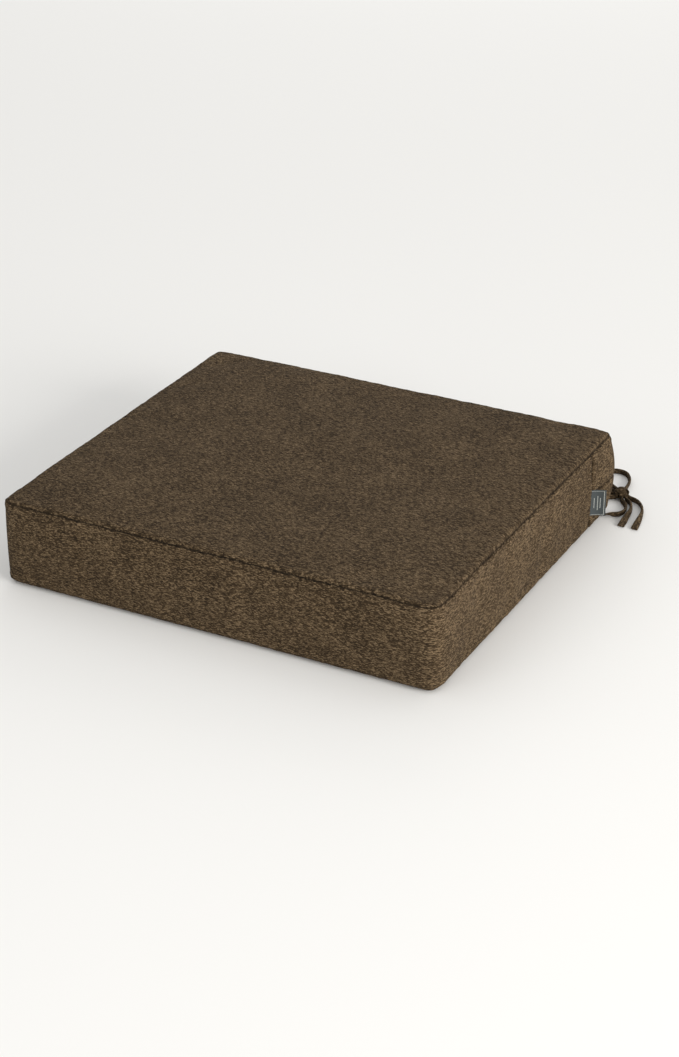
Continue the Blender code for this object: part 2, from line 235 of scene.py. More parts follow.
def patterned(name, roughness, kind, pattern, stops, settings=None, source="Fac", relief=None, **values):
    """A material whose one pattern gives its colour and its relief, which is a strength and a depth."""
    material, tree, shader = new_material(name, roughness, **values)
    place = add_node(tree, "ShaderNodeTexCoord")
    grain = add_node(tree, kind, {"Vector": place.outputs["Object"], **pattern}, **(settings or {}))
    colour = add_node(tree, "ShaderNodeValToRGB", {"Fac": grain.outputs[source]}, stops=stops)
    tree.links.new(colour.outputs["Color"], shader.inputs["Base Color"])
    if relief:
        bump = add_node(tree, "ShaderNodeBump", {
            "Height": grain.outputs[source], "Strength": relief[0], "Distance": relief[1]})
        tree.links.new(bump.outputs["Normal"], shader.inputs["Normal"])
    return material


def toned(hex_colour, dark, light):
    """Colour stops from a darker to a lighter tone of one colour."""
    base = linear(hex_colour)
    return [(place, (*[c * tone for c in base[:3]], 1.0)) for place, tone in ((0.0, dark), (1.0, light))]


def select_only(item):
    """Makes one object both the selected and the active one."""
    bpy.ops.object.select_all(action="DESELECT")
    item.select_set(True)
    bpy.context.view_layer.objects.active = item


def apply_all(item):
    """Applies the object's modifiers in their order."""
    select_only(item)
    for modifier in list(item.modifiers):
        bpy.ops.object.modifier_apply(modifier=modifier.name)


def edit_all(operator, **values):
    """Runs one edit mode operator on the whole of the active mesh."""
    bpy.ops.object.mode_set(mode="EDIT")
    bpy.ops.mesh.select_all(action="SELECT")
    operator(**values)
    bpy.ops.object.mode_set(mode="OBJECT")


def joined(parts, name):
    """Joins the parts into the first one."""
    bpy.ops.object.select_all(action="DESELECT")
    for part in parts:
        part.select_set(True)
    bpy.context.view_layer.objects.active = parts[0]
    bpy.ops.object.join()
    parts[0].name = parts[0].data.name = name
    return parts[0]


def placed(item, place, turn=(0, 0, 0)):
    """Turns a shape, moves it to its place and puts both into its mesh."""
    select_only(item)
    item.rotation_euler = turn
    item.location = place
    bpy.ops.object.transform_apply(location=True, rotation=True, scale=True)
    return item


def linked(name, data):
    """A new object in the scene, for a mesh, a camera or a lamp."""
    item = bpy.data.objects.new(name, data)
    bpy.context.collection.objects.link(item)
    return item


def mesh_object(name, points, faces, uvs=None):
    """A new object from points and faces, with a place on the cloth for each point where it has one."""
    mesh = bpy.data.meshes.new(name)
    mesh.from_pydata([tuple(p) for p in points], [], [tuple(f) for f in faces])
    if uvs is not None:
        layer = mesh.uv_layers.new(name="cloth")
        corners = np.empty(len(mesh.loops), np.int32)
        mesh.loops.foreach_get("vertex_index", corners)
        layer.data.foreach_set("uv", np.asarray(uvs, np.float32)[corners].ravel())
    mesh.update()
    return linked(name, mesh)


def aimed(name, data, place, facing):
    """A camera or lamp at a place, facing one way."""
    item = linked(name, data)
    item.location = place
    item.rotation_mode = "QUATERNION"
    item.rotation_quaternion = facing.to_track_quat("-Z", "Y")
    return item


def solidified(item, thickness, offset):
    """Gives a sheet its thickness."""
    skin = item.modifiers.new("Skin", "SOLIDIFY")
    skin.thickness = thickness
    skin.offset = offset
    apply_all(item)


def finish_piece(item, body, material, nodes=(), angle=None):
    """Rides the piece on its body, in place of its CAD nodes, with its material and smooth faces."""
    item.data.materials.clear()
    item.data.materials.append(material)
    select_only(item)
    if angle is None:
        bpy.ops.object.shade_smooth()
    else:
        bpy.ops.object.shade_smooth_by_angle(angle=math.radians(angle))
    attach(item, body)
    if nodes:
        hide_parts(*nodes)
    return item


def points_of(mesh, kind="co"):
    """Where the mesh's points are, or with the kind "normal" which way they face."""
    flat = np.empty(len(mesh.vertices) * 3, np.float32)
    mesh.vertices.foreach_get(kind, flat)
    return flat.reshape(-1, 3).astype(float)


def move_points(mesh, points):
    """Puts the mesh's points in new places."""
    mesh.vertices.foreach_set("co", points.astype(np.float32).ravel())
    mesh.update()


def attribute_of(mesh, name):
    """The values that the mesh's points carry."""
    flat = np.empty(len(mesh.vertices), np.float32)
    mesh.attributes[name].data.foreach_get("value", flat)
    return flat.astype(float)


def add_attribute(mesh, name, values, domain="POINT"):
    """Values that the mesh's points, edges or faces carry."""
    kind, exact = ("INT", np.int32) if values.dtype.kind == "i" else ("FLOAT", np.float32)
    mesh.attributes.new(name, kind, domain).data.foreach_set("value", values.astype(exact))


def bell(distance, width):
    """1 at distance 0, falling smoothly to nothing past about twice the width."""
    return np.exp(-((distance / width) ** 2))


def gathers(along, seed, waves=(0.009, 0.013, 0.019, 0.031)):
    """A smooth irregular wave along a seam, from about -1 to 1."""
    draw = np.random.default_rng(seed)
    total = np.zeros_like(along)
    for wave in waves:
        total += np.sin(2 * math.pi * along / wave + draw.uniform(0, 2 * math.pi)) * draw.uniform(0.6, 1.0)
    return total / len(waves) * 1.4


# ---------------------------------------------------------------------------------------------- materials


def heather_cloth(name, cover, seed=0.0, depth=1.0):
    """Solution-dyed olefin, woven from slub yarns that drift between dark brown, taupe and tan.

    It reads the cloth's own UV map, in metres. The real yarns are 0.6 mm thick. They are drawn 0.8 mm thick,
    and cross each 2 mm, so that they show.
    """
    material, tree, shader = new_material(name, 0.95, Specular_IOR_Level=0.12)
    uv = add_node(tree, "ShaderNodeUVMap", uv_map="cloth")
    # No yarn lies quite straight.
    wander = add_node(tree, "ShaderNodeTexNoise", {
        "Vector": uv.outputs["UV"], "Scale": 210.0, "Detail": 1.0})
    bent = add_node(tree, "ShaderNodeVectorMath", {
        0: wander.outputs["Color"], 1: (0.0018, 0.0013, 0.0), 2: uv.outputs["UV"]}, operation="MULTIPLY_ADD")
    yarns = add_node(tree, "ShaderNodeMapping", {
        "Vector": bent.outputs["Vector"], "Scale": (1 / YARN, 1 / YARN, 1),
        "Location": (seed, seed * 2, seed)})
    # Each weft yarn has thick and thin stretches of its own, and where it comes up its tone differs a little.
    rows = add_node(tree, "ShaderNodeVectorMath", {0: yarns.outputs["Vector"], 1: (0.001, 1.0, 1.0)},
                    operation="SNAP")
    drawn_out = add_node(tree, "ShaderNodeMapping", {
        "Vector": rows.outputs["Vector"], "Scale": (0.16, 7.31, 1)})
    weft = add_node(tree, "ShaderNodeTexNoise", {"Vector": drawn_out.outputs["Vector"], "Scale": 1.0,
                                                 "Detail": 2.0, "Roughness": 0.6})
    floats = add_node(tree, "ShaderNodeTexBrick", {
        "Vector": yarns.outputs["Vector"], "Color1": (0, 0, 0, 1), "Color2": (1, 1, 1, 1),
        "Mortar": (0.35, 0.35, 0.35, 1), "Scale": 1.0, "Mortar Size": 0.42, "Mortar Smooth": 1.0,
        "Brick Width": 2.4, "Row Height": 1.0}, squash=1.35, squash_frequency=3)
    cloud = add_node(tree, "ShaderNodeTexNoise", {"Vector": uv.outputs["UV"], "Scale": 18.0, "Detail": 2.0})
    own = add_node(tree, "ShaderNodeSeparateColor", {"Color": floats.outputs["Color"]})
    tone = cloud.outputs["Fac"]
    for source, amount in ((own.outputs["Red"], 2.6), (weft.outputs["Fac"], 6.5)):
        tone = add_node(tree, "ShaderNodeMath", {0: source, 1: amount, 2: tone},
                        operation="MULTIPLY_ADD").outputs[0]
    span = add_node(tree, "ShaderNodeMapRange", {"Value": tone, "From Min": 2.75, "From Max": 6.65})
    colour = add_node(tree, "ShaderNodeValToRGB", {"Fac": span.outputs["Result"]}, stops=[
        (0.10, linear(cover.dark_yarn)),
        (0.52, linear(cover.ground_yarn)),
        (0.95, linear(cover.light_yarn)),
    ])
    # The colour between the yarns is darker: painted shade. Cloth drawn into a seam is darker too: painted
    # shadow under the seam's lip.
    # depth scales the whole colour; below 1 it paints a darker, shaded copy of the cloth.
    gap_shade = add_node(tree, "ShaderNodeMapRange", {
        "Value": floats.outputs["Fac"], "From Min": 0.3, "To Min": depth, "To Max": 0.64 * depth})
    # Painted shadow: the further a seam drew the cloth in, the darker its colour, down to a tenth.
    drawn_in = add_node(tree, "ShaderNodeAttribute", attribute_name="drawn_in")
    darker = add_node(tree, "ShaderNodeMapRange", {
        "Value": drawn_in.outputs["Fac"], "From Min": 0.15, "From Max": 0.7, "To Min": 1.0, "To Max": 0.10})
    shadow = add_node(tree, "ShaderNodeMath", {0: gap_shade.outputs["Result"], 1: darker.outputs["Result"]},
                      operation="MULTIPLY")
    shaded = add_node(tree, "ShaderNodeVectorMath", {0: colour.outputs["Color"], "Scale": shadow.outputs[0]},
                      operation="SCALE")
    tree.links.new(shaded.outputs["Vector"], shader.inputs["Base Color"])
    bump = add_node(tree, "ShaderNodeBump", {
        "Height": floats.outputs["Fac"], "Strength": 0.7, "Distance": 0.0004}, invert=True)
    tree.links.new(bump.outputs["Normal"], shader.inputs["Normal"])
    return material


def open_cell_foam():
    """Polyurethane foam: pale yellow and matt, with cut cells about 1 mm across."""
    return patterned("polyurethane_foam", 0.95, "ShaderNodeTexVoronoi", {"Scale": 900.0},
                     [(0.0, linear("#cdbf8f")), (0.6, linear("#efe6c4"))], source="Distance",
                     relief=(0.5, 0.0006), Specular_IOR_Level=0.2)


def fibre_wadding():
    """Carded polyester fibre: white, soft and fuzzy, with fibres lying every way."""
    return patterned("polyester_wadding", 0.95, "ShaderNodeTexNoise",
                     {"Scale": 260.0, "Detail": 6.0, "Distortion": 2.5},
                     [(0.3, linear("#dcdbd6")), (0.7, linear("#f7f7f4"))],
                     relief=(0.6, 0.001), Sheen_Weight=0.5, Specular_IOR_Level=0.2)


def woven_tape(trim):
    """Zip tape: a fine polyester herringbone, a little darker than the cover."""
    return patterned("polyester_zip_tape", 0.8, "ShaderNodeTexWave",
                     {"Scale": 340.0, "Distortion": 1.2, "Detail": 1.0}, toned(trim.zip_tape, 0.7, 1.0),
                     {"bands_direction": "DIAGONAL"}, relief=(0.4, 0.0003), Specular_IOR_Level=0.3)


def nylon_coil(trim):
    """Zip coil: dyed nylon monofilament, smooth with a soft gloss."""
    return patterned("nylon_monofilament", 0.38, "ShaderNodeTexNoise", {"Scale": 30.0, "Detail": 2.0},
                     toned(trim.zip_coil, 0.75, 1.25), IOR=1.53)


def enamelled_zinc(trim):
    """Slider, tab and stops: die cast zinc under dark enamel, rubbed a little along its edges."""
    material, tree, shader = new_material("enamelled_zinc", 0.42, Coat_Weight=0.3, Coat_Roughness=0.25)
    place = add_node(tree, "ShaderNodeTexCoord")
    specks = add_node(tree, "ShaderNodeTexNoise", {
        "Vector": place.outputs["Object"], "Scale": 1800.0, "Detail": 3.0})
    edges = add_node(tree, "ShaderNodeNewGeometry")
    worn = add_node(tree, "ShaderNodeMapRange", {
        "Value": edges.outputs["Pointiness"], "From Min": 0.54, "From Max": 0.66})
    colour = add_node(tree, "ShaderNodeValToRGB", {"Fac": worn.outputs["Result"]}, stops=[
        (0.0, linear(trim.zip_enamel)), (1.0, linear(trim.zip_bare))])
    tree.links.new(colour.outputs["Color"], shader.inputs["Base Color"])
    rough = add_node(tree, "ShaderNodeMapRange", {
        "Value": specks.outputs["Fac"], "To Min": 0.34, "To Max": 0.52})
    tree.links.new(rough.outputs["Result"], shader.inputs["Roughness"])
    bump = add_node(tree, "ShaderNodeBump", {
        "Height": specks.outputs["Fac"], "Strength": 0.15, "Distance": 0.0001})
    tree.links.new(bump.outputs["Normal"], shader.inputs["Normal"])
    return material


def damask_ribbon(name, hex_colour):
    """Label cloth: a fine woven damask, with warp threads about 0.25 mm apart that give it a faint rib."""
    return patterned(name, 0.62, "ShaderNodeTexWave", {"Scale": 640.0, "Distortion": 0.8},
                     toned(hex_colour, 0.8, 1.12), {"bands_direction": "Z"}, relief=(0.35, 0.0002),
                     Sheen_Weight=0.15, Specular_IOR_Level=0.4)


def spun_thread(cover):
    """Sewing thread: twisted polyester, a shade darker than the cover, with a slight lustre."""
    return patterned("spun_polyester_thread", 0.6, "ShaderNodeTexWave", {"Scale": 900.0},
                     toned(cover.ground_yarn, 0.6, 1.0), {"bands_direction": "DIAGONAL"}, Sheen_Weight=0.2)


def painted_floor(stage):
    """Matt studio floor, with the faintest drift of tone."""
    return patterned("matt_studio_floor", 0.9, "ShaderNodeTexNoise", {"Scale": 0.8},
                     toned(stage.floor, 0.985, 1.0), Specular_IOR_Level=0.1)


# ---------------------------------------------------------------------------------------------- cover


def fill_between(fixed, step):
    """The fixed places in order, with evenly spaced ones between them, no further apart than step."""
    places = []
    for start, end in zip(fixed, fixed[1:]):
        count = max(1, math.ceil((end - start) / step - 1e-6))
        places += [start + (end - start) * i / count for i in range(count)]
    return np.array(places + [fixed[-1]])


def beside(place, offsets, side):
    """Places beside another one, at each offset to one side of it."""
    return [place + side * offset for offset in offsets]


def rounded_plan(x, y, cover):
    """Rounds a plain rectangle's corners. Each ring of points keeps its distance from the edge."""
    inset = np.minimum(HALF_WIDTH - np.abs(x), HALF_DEPTH - np.abs(y))
    radius = np.maximum(np.where(y < 0, cover.front_corner, cover.rear_corner) - inset, 1e-9)
    from_corner_x = HALF_WIDTH - inset - np.abs(x)
    from_corner_y = HALF_DEPTH - inset - np.abs(y)
    share = np.maximum(from_corner_x, from_corner_y) / radius
    turn = np.where(from_corner_x > from_corner_y, 1 + share, 1 - share) * math.pi / 4
    round_x = np.sign(x) * (HALF_WIDTH - inset - radius + radius * np.cos(turn))
    round_y = np.sign(y) * (HALF_DEPTH - inset - radius + radius * np.sin(turn))
    inside = share < 1
    return np.where(inside, round_x, x), np.where(inside, round_y, y), inset


def cover_grid(cover):
    """The flat cover as a closed grid: points, faces, each face's panel and UVs, and each point's marks."""
    near = (0.0015, 0.0035, 0.0075)
    edge = beside(HALF_WIDTH, near[::-1], -1) + [HALF_WIDTH]
    xs = fill_between([-x for x in reversed(edge)] + [-SLOT_END, SLOT_END] + edge, cover.cloth_step)
    seam = beside(SIDE_SEAM_Y, near[1::-1], -1) + [SIDE_SEAM_Y] + beside(SIDE_SEAM_Y, near[:2], 1)
    rear = beside(HALF_DEPTH, near[::-1], -1) + [HALF_DEPTH]
    ys = fill_between([-y for y in reversed(rear)] + seam + rear, cover.cloth_step)
    from_zip = (0.0015, SLOT_HALF, SLOT_HALF + 0.0018)
    zs = [BOTTOM_SEAM] + beside(BOTTOM_SEAM, near, 1) + beside(ZIP_HEIGHT, from_zip[::-1], -1) + [ZIP_HEIGHT]
    zs += beside(ZIP_HEIGHT, from_zip, 1) + beside(SEAM_HEIGHT, near[::-1], -1) + [SEAM_HEIGHT]
    zs = fill_between(zs, cover.cloth_step)
    count_x, count_y, rows = len(xs) - 1, len(ys) - 1, len(zs) - 1
    flat_x, flat_y = [grid.ravel() for grid in np.meshgrid(xs, ys, indexing="ij")]
    plan_x, plan_y, inset = rounded_plan(flat_x, flat_y, cover)
    sheet = count_y + 1
    ring = [(i, 0) for i in range(count_x)] + [(count_x, j) for j in range(count_y)]
    ring += [(i, count_y) for i in range(count_x, 0, -1)] + [(0, j) for j in range(count_y, 0, -1)]
    ring_ids = np.array([i * sheet + j for i, j in ring])
    ring_x, ring_y = plan_x[ring_ids], plan_y[ring_ids]
    steps = np.hypot(np.diff(ring_x, append=ring_x[0]), np.diff(ring_y, append=ring_y[0]))
    ring_run = np.concatenate([[0], np.cumsum(steps)[:-1]])
    # Each point of a sheet takes its place along the seam from the nearest point of its rim.
    grid_i, grid_j = np.divmod(np.arange(len(flat_x)), sheet)
    on_side = HALF_WIDTH - np.abs(flat_x) < HALF_DEPTH - np.abs(flat_y)
    rim_i = np.where(on_side, np.where(flat_x > 0, count_x, 0), grid_i)
    rim_j = np.where(on_side, grid_j, np.where(flat_y > 0, count_y, 0))
    run_of = np.zeros(len(flat_x))
    run_of[ring_ids] = ring_run
    sheet_run = run_of[rim_i * sheet + rim_j]
    rest = np.clip(inset / 0.014, 0, 1)
    bottom_z = BOTTOM_SEAM * (1 - rest * rest * (3 - 2 * rest))
    top = np.column_stack([plan_x, plan_y, np.full(len(plan_x), SEAM_HEIGHT)])
    bottom = np.column_stack([plan_x, plan_y, bottom_z])
    walls = [np.column_stack([ring_x, ring_y, np.full(len(ring), z)]) for z in zs[1:-1]]
    points = np.vstack([top, bottom, *walls])
    size = len(top)
    around = len(ring)
    between = [2 * size + row * around + np.arange(around) for row in range(rows - 1)]
    levels = [ring_ids + size] + between + [ring_ids]
    faces, panels, uvs = [], [], []
    for i in range(count_x):
        for j in range(count_y):
            quad = [i * sheet + j, (i + 1) * sheet + j, (i + 1) * sheet + j + 1, i * sheet + j + 1]
            faces.append(quad)
            panels.append(TOP)
            uvs.append([(plan_x[k], plan_y[k]) for k in quad])
            under = [k + size for k in reversed(quad)]
            faces.append(under)
            panels.append(BOTTOM)
            uvs.append([(plan_x[k - size], -plan_y[k - size]) for k in under])
    for row in range(rows):
        for column in range(around):
            after = (column + 1) % around
            under, over = levels[row], levels[row + 1]
            faces.append([under[column], under[after], over[after], over[column]])
            run, run_after = ring_run[column], ring_run[column] + steps[column]
            uvs.append([(run, zs[row]), (run_after, zs[row]), (run_after, zs[row + 1]), (run, zs[row + 1])])
            middle_y = (ring_y[column] + ring_y[after]) / 2
            middle_x = (ring_x[column] + ring_x[after]) / 2
            middle_z = (zs[row] + zs[row + 1]) / 2
            in_slot = abs(middle_x) < SLOT_END and middle_y > 0.9 * HALF_DEPTH
            if middle_y < SIDE_SEAM_Y:
                panels.append(FRONT_BAND)
            elif in_slot and abs(middle_z - ZIP_HEIGHT) < SLOT_HALF:
                panels.append(ZIP_OPENING)
            else:
                panels.append(REAR_UPPER if middle_z > ZIP_HEIGHT else REAR_LOWER)
    along = np.concatenate([sheet_run, sheet_run, np.tile(ring_run, rows - 1)])
    depth = np.concatenate([inset, inset, np.zeros(around * (rows - 1))])
    rise = np.concatenate([np.repeat([SEAM_HEIGHT, BOTTOM_SEAM], size), np.repeat(zs[1:-1], around)])
    return points, faces, np.array(panels), uvs, {"along": along, "depth": depth, "rise": rise}


def held_weights(points, marks):
    """How firmly each point is held: fast at the seams and below, lightly at the side seams and the zip."""
    depth, rise = marks["depth"], marks["rise"]
    on_rim = depth < ON_SEAM
    at_top = np.abs(rise - SEAM_HEIGHT) < ON_SEAM
    at_bottom = np.abs(rise - BOTTOM_SEAM) < ON_SEAM
    weight = np.zeros(len(points))
    weight[on_rim & (at_top | at_bottom)] = 1.0
    weight[at_bottom & (depth > 0.010)] = 1.0
    wall = on_rim & ~at_top & ~at_bottom
    weight[wall & (np.abs(points[:, 1] - SIDE_SEAM_Y) < 1e-4)] = 0.25
    zip_line = wall & (points[:, 1] > 0.95 * HALF_DEPTH) & (np.abs(points[:, 0]) < SLOT_END + 1e-4)
    weight[zip_line & (np.abs(rise - ZIP_HEIGHT) < SLOT_HALF + 1e-4)] = 0.6
    return weight


def swell(item, weight, cover):
    """Blows the cover up like a cushion, by cloth simulation, and gives how far each point moved."""
    start = points_of(item.data)
    group = item.vertex_groups.new(name="held")
    for value in np.unique(weight[weight > 0]):
        group.add(np.flatnonzero(weight == value).tolist(), float(value), "REPLACE")
    modifier = item.modifiers.new("Cloth", "CLOTH")
    cloth = modifier.settings
    cloth.quality = 6
    cloth.mass = 0.35
    cloth.tension_stiffness = 25
    cloth.compression_stiffness = 12
    cloth.shear_stiffness = 8
    cloth.bending_stiffness = 3
    cloth.use_pressure = True
    cloth.uniform_pressure_force = cover.pressure
    cloth.shrink_min = -0.012
    cloth.vertex_group_mass = "held"
    cloth.effector_weights.gravity = 0
    modifier.collision_settings.use_collision = False
    modifier.point_cache.frame_start = 1
    modifier.point_cache.frame_end = cover.frames
    scene = bpy.context.scene
    for step in range(1, cover.frames + 1):
        scene.frame_set(step)
    evaluated = item.evaluated_get(bpy.context.evaluated_depsgraph_get())
    moved = points_of(evaluated.data) - start
    item.modifiers.remove(modifier)
    scene.frame_set(1)
    return moved


def capped(moved, limit):
    """Shortens long moves smoothly, so that none is longer than its limit."""
    size = np.linalg.norm(moved, axis=1)
    keep = limit * np.tanh(size / limit) / np.maximum(size, 1e-9)
    return moved * keep[:, None]


def seam_distances(points, depth, rise):
    """How far each point is from the top, bottom and side seams, the rear join and the zip; 1 is far off."""
    wall = depth < 1e-5
    to_top = np.where(wall, SEAM_HEIGHT - rise, np.where(rise > SEAM_HEIGHT / 2, depth, 1.0))
    to_bottom = np.where(wall, rise - BOTTOM_SEAM, np.where(rise < SEAM_HEIGHT / 2, depth, 1.0))
    to_side = np.where(wall, np.abs(points[:, 1] - SIDE_SEAM_Y), 1.0)
    behind = wall & (points[:, 1] > SIDE_SEAM_Y + 0.001)
    past_zip = behind & ((np.abs(points[:, 0]) > SLOT_END + 0.002) | (points[:, 1] < 0.9 * HALF_DEPTH))
    to_join = np.where(past_zip, np.abs(rise - ZIP_HEIGHT), 1.0)
    to_slot = np.where(behind & ~past_zip, np.abs(np.abs(rise - ZIP_HEIGHT) - SLOT_HALF), 1.0)
    return wall, to_top, to_bottom, to_side, to_join, to_slot


def pull_in_seams(item, cover):
    """Draws the seams in, gathers the cloth beside them and lets the large faces roll a little."""
    mesh = item.data
    points, out = points_of(mesh), points_of(mesh, "normal")
    along, depth, rise = [attribute_of(mesh, name) for name in ("along", "depth", "rise")]
    wall, to_top, to_bottom, to_side, to_join, to_slot = seam_distances(points, depth, rise)
    upper = rise > SEAM_HEIGHT / 2
    drawn = bell(to_top, np.where(wall, 0.0023, 0.0017))
    for distance, width, share in (
        (to_bottom, 0.0016, 0.7), (to_side, 0.0016, 0.8), (to_join, 0.0012, 0.6), (to_slot, 0.0014, 0.6),
    ):
        drawn = np.maximum(drawn, share * bell(distance, width))
    # The seam allowances bunch up inside a corner, so that its seams can't be drawn in as far.
    corner = np.hypot(HALF_WIDTH - np.abs(points[:, 0]), HALF_DEPTH - np.abs(points[:, 1]))
    drawn *= 1 - 0.7 * bell(corner, 0.014) * upper
    # The seam allowance inside makes a low ridge on both sides of a seam.
    nearest = np.minimum(to_top, np.minimum(to_bottom, to_side))
    ridge = 0.0008 * bell(nearest - 0.005, 0.0032)
    ruck = np.zeros(len(points))
    on_cloth = along + np.where(wall, 0.0, 0.4)
    for distance, reach, where, seed in (
        (to_top, 0.005, on_cloth, 3), (to_bottom, 0.005, on_cloth, 5), (to_side, 0.004, rise, 8),
    ):
        fade = distance / reach * np.exp(1 - distance / reach)
        ruck += cover.pucker * fade * gathers(where, seed)
    drift = 0.0004 * gathers(along, 21, (0.06, 0.11, 0.17)) * (to_top < 0.05)
    roll = np.sin(points[:, 0] / 0.047 + 1.3) * np.sin(points[:, 1] / 0.061 + 0.4)
    roll += 0.5 * np.sin(points[:, 0] / 0.027 + points[:, 1] / 0.035)
    roll *= 0.0007 * np.clip(to_top / 0.05, 0, 1) * upper * ~wall
    points = points + out * (ruck + roll + ridge - cover.seam_depth * drawn)[:, None]
    points[:, 2] += drift * np.exp(-to_top / 0.02)
    points[:, 2] = np.maximum(points[:, 2], 0.0003)
    move_points(mesh, points)
    # The cloth's material darkens its colour where drawn_in is high: painted shadow in the seams.
    add_attribute(mesh, "drawn_in", drawn)


def cut_panel(whole, panel_of_face, panel, name):
    """A panel of the cover as its own piece, with its share of the cloth's UV map."""
    mesh = whole.data
    points = points_of(mesh)
    loops = np.empty(len(mesh.loops), np.int32)
    mesh.loops.foreach_get("vertex_index", loops)
    uv = np.empty(len(mesh.loops) * 2, np.float32)
    mesh.uv_layers["cloth"].data.foreach_get("uv", uv)
    quads = loops.reshape(-1, 4)[panel_of_face == panel]
    corners = uv.reshape(-1, 4, 2)[panel_of_face == panel]
    used, inverse = np.unique(quads.ravel(), return_inverse=True)
    piece = bpy.data.meshes.new(name)
    piece.from_pydata(points[used].tolist(), [], inverse.reshape(-1, 4).tolist())
    layer = piece.uv_layers.new(name="cloth")
    layer.data.foreach_set("uv", corners.ravel())
    add_attribute(piece, "drawn_in", attribute_of(mesh, "drawn_in")[used])
    piece.update()
    return linked(name, piece)


def shaped(moved, out, points, marks, cover):
    """Limits the swelling to what the foam and the wadding allow, and gives where the points end."""
    wall = marks["depth"] < ON_SEAM
    moved *= np.where(wall, cover.wall_share, cover.top_share)[:, None]
    moved = capped(moved, np.where(wall, cover.wall_swell, cover.top_rise))
    height = np.clip((marks["rise"] - BOTTOM_SEAM) / (SEAM_HEIGHT - BOTTOM_SEAM), 0, 1)
    belly = np.sin(math.pi * height) * wall
    level = out * np.array([1, 1, 0])
    level /= np.maximum(np.linalg.norm(level, axis=1), 1e-6)[:, None]
    # Foam fills the band's corners out more than its flat walls, the rear ones most.
    moved += level * (0.0020 * belly)[:, None]
    for x_side, y_side, extra in ((1, 1, 0.0068), (-1, 1, 0.0060), (1, -1, 0.0030), (-1, -1, -0.0012)):
        reach = np.hypot(x_side * HALF_WIDTH - points[:, 0], y_side * HALF_DEPTH - points[:, 1]) / 0.075
        at_corner = np.cos(np.clip(reach, 0, 1) * math.pi / 2) ** 2
        away = np.array([x_side, y_side, 0]) / math.sqrt(2)
        moved += away * (extra * at_corner * belly)[:, None]
    # A slight waist where a chair's arm posts have pressed on the sides.
    moved[:, 0] -= np.sign(points[:, 0]) * 0.0025 * bell(points[:, 1] + 0.135, 0.04) * belly
    # The band lies flat past both ends of the zip, where the pull tab may rest on it.
    past_x = np.clip(np.abs(points[:, 0]) - 0.236, 0, 1)
    past_z = np.clip(np.abs(marks["rise"] - ZIP_HEIGHT) - 0.006, 0, 1)
    flat = bell(past_x, 0.008) * bell(past_z, 0.010) * wall * (points[:, 1] > 0.9 * HALF_DEPTH)
    flat *= np.abs(points[:, 0]) > SLOT_END - 0.02
    moved[:, 1] += (np.minimum(moved[:, 1], 0.0006) - moved[:, 1]) * flat
    # The wadding lifts the top a little all the way to its seam.
    moved[:, 2] += 0.0020 * (1 - bell(marks["depth"], 0.006)) * (marks["rise"] > SEAM_HEIGHT - ON_SEAM)
    ends = points + moved
    ends[:, 2] = np.maximum(ends[:, 2], 0.0)
    return ends


def seam_creases(mesh, marks):
    """Keeps the top and the bottom seam sharp when the cloth is made finer."""
    ends = np.empty(len(mesh.edges) * 2, np.int32)
    mesh.edges.foreach_get("vertices", ends)
    on_seam = np.abs(marks["rise"] - SEAM_HEIGHT) < ON_SEAM
    on_seam |= np.abs(marks["rise"] - BOTTOM_SEAM) < ON_SEAM
    rim = (marks["depth"] < ON_SEAM) & on_seam
    add_attribute(mesh, "crease_edge", 0.8 * rim[ends.reshape(-1, 2)].all(axis=1), "EDGE")


def sew_cover(cover):
    """The whole cover: its grid, blown up, drawn in at the seams and cut into its panels."""
    points, faces, panels, uvs, marks = cover_grid(cover)
    whole = mesh_object("cover", points, faces)
    mesh = whole.data
    layer = mesh.uv_layers.new(name="cloth")
    layer.data.foreach_set("uv", np.array(uvs, np.float32).ravel())
    for name, values in marks.items():
        add_attribute(mesh, name, values)
    add_attribute(mesh, "panel", panels, "FACE")
    out = points_of(mesh, "normal")
    moved = swell(whole, held_weights(points, marks), cover)
    move_points(mesh, shaped(moved, out, points, marks, cover))
    seam_creases(mesh, marks)
    finer = whole.modifiers.new("Finer cloth", "SUBSURF")
    finer.levels = finer.render_levels = 1
    apply_all(whole)
    pull_in_seams(whole, cover)
    panel_of_face = np.empty(len(whole.data.polygons), np.int32)
    whole.data.attributes["panel"].data.foreach_get("value", panel_of_face)
    cloths = {
        TOP: heather_cloth("heathered_olefin_top", cover),
        BOTTOM: heather_cloth("heathered_olefin_bottom", cover, seed=3.1),
        FRONT_BAND: heather_cloth("heathered_olefin_boxing", cover, seed=5.7),
        REAR_UPPER: heather_cloth("heathered_olefin_rear", cover, seed=8.3),
    }
    cloths[REAR_LOWER] = cloths[REAR_UPPER]
    for panel, (name, nodes) in enumerate(PANELS.items()):
        piece = cut_panel(whole, panel_of_face, panel, name)
        solidified(piece, cover.skin, -1)
        finish_piece(piece, "pad", cloths[panel], nodes)
    bpy.data.objects.remove(whole, do_unlink=True)


# ---------------------------------------------------------------------------------------------- filling


def soft_block(name, node, material, voxel, shrink, dents):
    """A filling piece: its CAD solid with soft edges and an uneven surface, shrunk to stay in the cover."""
    item = linked(name, frame["nodes"][node].data.copy())
    block = item.modifiers.new("Block", "REMESH")
    block.mode = "VOXEL"
    block.voxel_size = voxel
    soft = item.modifiers.new("Soft edges", "SMOOTH")
    soft.factor = 0.5
    soft.iterations = 4
    apply_all(item)
    points, out = points_of(item.data), points_of(item.data, "normal")
    wave = sum(np.sin(points @ np.array(way)) for way in ((31, 47, 20), (-53, 29, 61), (83, -71, 17)))
    move_points(item.data, points - out * (shrink + (wave + 3) / 6 * dents)[:, None])
    finish_piece(item, "pad", material, (node,))


# ---------------------------------------------------------------------------------------------- zip


